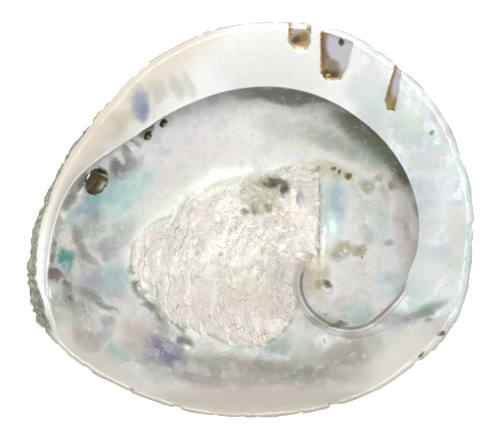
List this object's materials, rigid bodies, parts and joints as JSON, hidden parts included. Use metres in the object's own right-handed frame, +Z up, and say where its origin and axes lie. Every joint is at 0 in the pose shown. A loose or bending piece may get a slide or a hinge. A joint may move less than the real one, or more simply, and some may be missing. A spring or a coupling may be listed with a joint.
{
  "type": "abalone shell",
  "caption": "Empty abalone shell lying on its back: pearly bowl with a broad inner shelf that hooks into the spire, breathing holes and a crusted outside.",
  "frame": {"origin": "bottom centre of the bounding box, on the surface the shell rests on", "axes": "+X along the shell's length towards the spire, +Y towards the broad side of the shelf, +Z up out of the opening"},
  "size_m": [0.167, 0.1482, 0.0456],
  "materials": {
    "nacre": "pearly, satin to glossy"
  },
  "bodies": {
    "root": {"shell": "nacre"}
  },
  "joints": []
}
